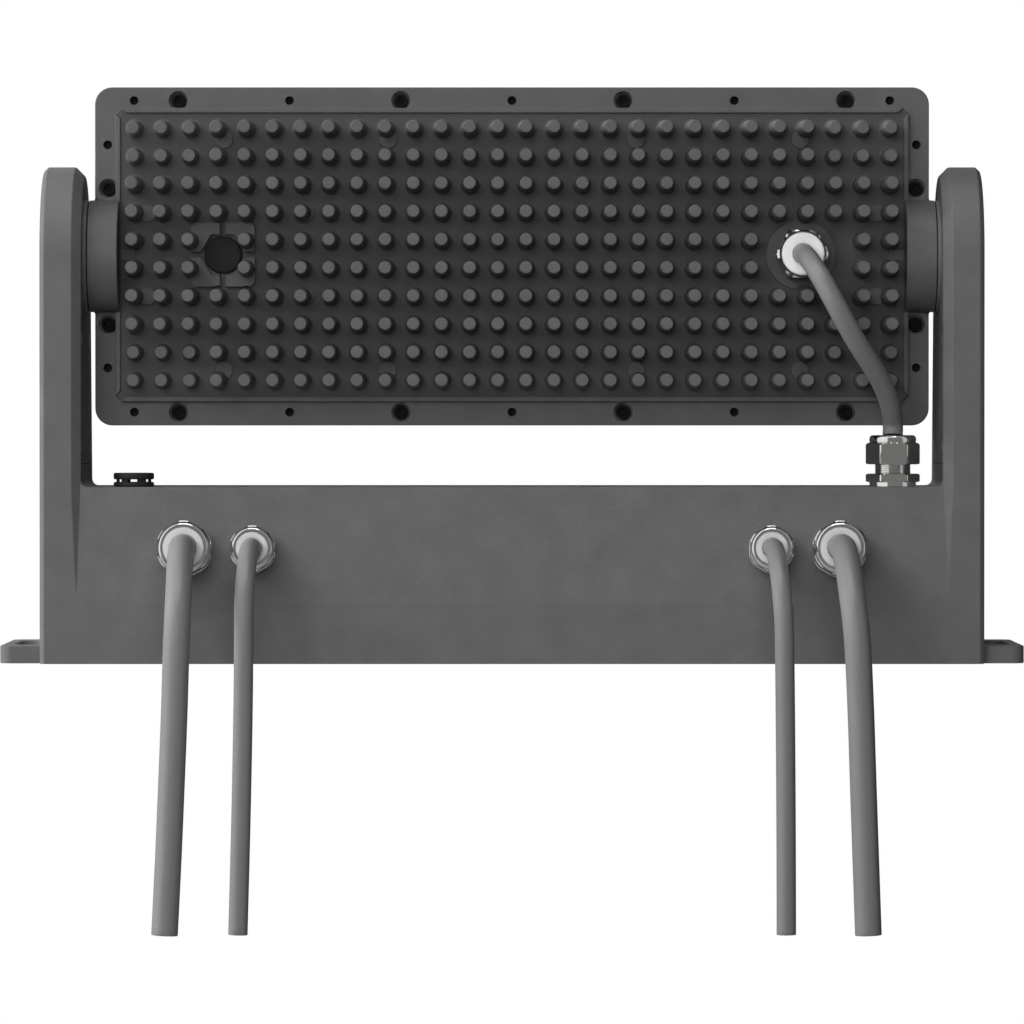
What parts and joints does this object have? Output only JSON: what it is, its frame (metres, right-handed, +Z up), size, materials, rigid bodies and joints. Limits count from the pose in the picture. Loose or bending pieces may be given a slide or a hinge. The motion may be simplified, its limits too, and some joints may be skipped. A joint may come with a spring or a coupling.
{
  "type": "led wash light",
  "caption": "Outdoor LED wash light: rectangular head with a pin-fin heatsink tilting between two round-topped arms of a base housing, with glands and cable tails.",
  "frame": {"origin": "centre of the base underside, on the mounting face", "axes": "+Z up, away from the mounting face; +Y along the beam; +X to the right when looking along the beam"},
  "size_m": [0.4732, 0.1935, 0.3874],
  "materials": {
    "housing": "fine-textured grey powder coat",
    "housing_dark": "fine-textured dark grey powder coat",
    "nickel": "nickel-plated brass",
    "steel": "stainless",
    "black_screw": "black oxide",
    "bronze": "plain bearing bronze",
    "friction": "friction lining",
    "black_plastic": "fine-grained",
    "seal": "light grey elastomer",
    "gasket": "black foam rubber",
    "cable": "grey sheath, slight sheen",
    "glass": "toughened, clear",
    "lens": "clear moulded acrylic",
    "board_white": "white solder mask on aluminium",
    "board_green": "green solder mask",
    "emitter": "phosphor and ceramic",
    "terminal": "moulded nylon",
    "core": "PVC core insulation"
  },
  "bodies": {
    "base": {"yoke_base": "housing", "base_plate": "steel", "base_gasket": "gasket", "base_plate_screws": "steel", "power_supply": "steel", "equipment_screws": "steel", "control_board": "board_green", "control_parts": "black_plastic", "board_standoffs": "bronze", "terminal_blocks": "terminal", "internal_wiring": "core", "sheath_ends": "cable", "arm_cover_left": "housing", "arm_cover_right": "housing", "arm_cover_screws": "steel", "pivot_bush_left": "bronze", "pivot_bush_right": "bronze", "friction_washer_left": "friction", "friction_washer_right": "friction", "pivot_cap_left": "black_plastic", "pivot_cap_right": "black_plastic", "base_vent": "black_plastic", "gland_bodies": "nickel", "gland_nuts": "nickel", "gland_seals": "seal", "gland_locknuts": "nickel", "mains_in_cable": "cable", "data_in_cable": "cable", "data_out_cable": "cable", "mains_out_cable": "cable", "head_cable": "cable"},
    "head": {"heatsink": "housing_dark", "head_screws": "black_screw", "head_vent_plug": "black_plastic", "head_gland_body": "nickel", "head_gland_nut": "nickel", "head_gland_seal": "seal", "head_sheath_end": "cable", "pivot_bolt_left": "steel", "pivot_bolt_right": "steel", "head_gasket": "gasket", "front_frame": "housing_dark", "glass_gasket": "gasket", "front_glass": "glass", "glass_bezel": "housing_dark", "bezel_screws": "steel", "led_board": "board_white", "led_board_screws": "steel", "led_emitters": "emitter", "lens_array": "lens", "head_wiring": "core"}
  },
  "joints": [
    {"name": "head_tilt", "type": "hinge", "parent": "base", "child": "head", "pos_m": [0, 0, 0.1885], "axis": [1, 0, 0], "range_deg": [-15, 90], "deforming": ["head_cable"]}
  ]
}
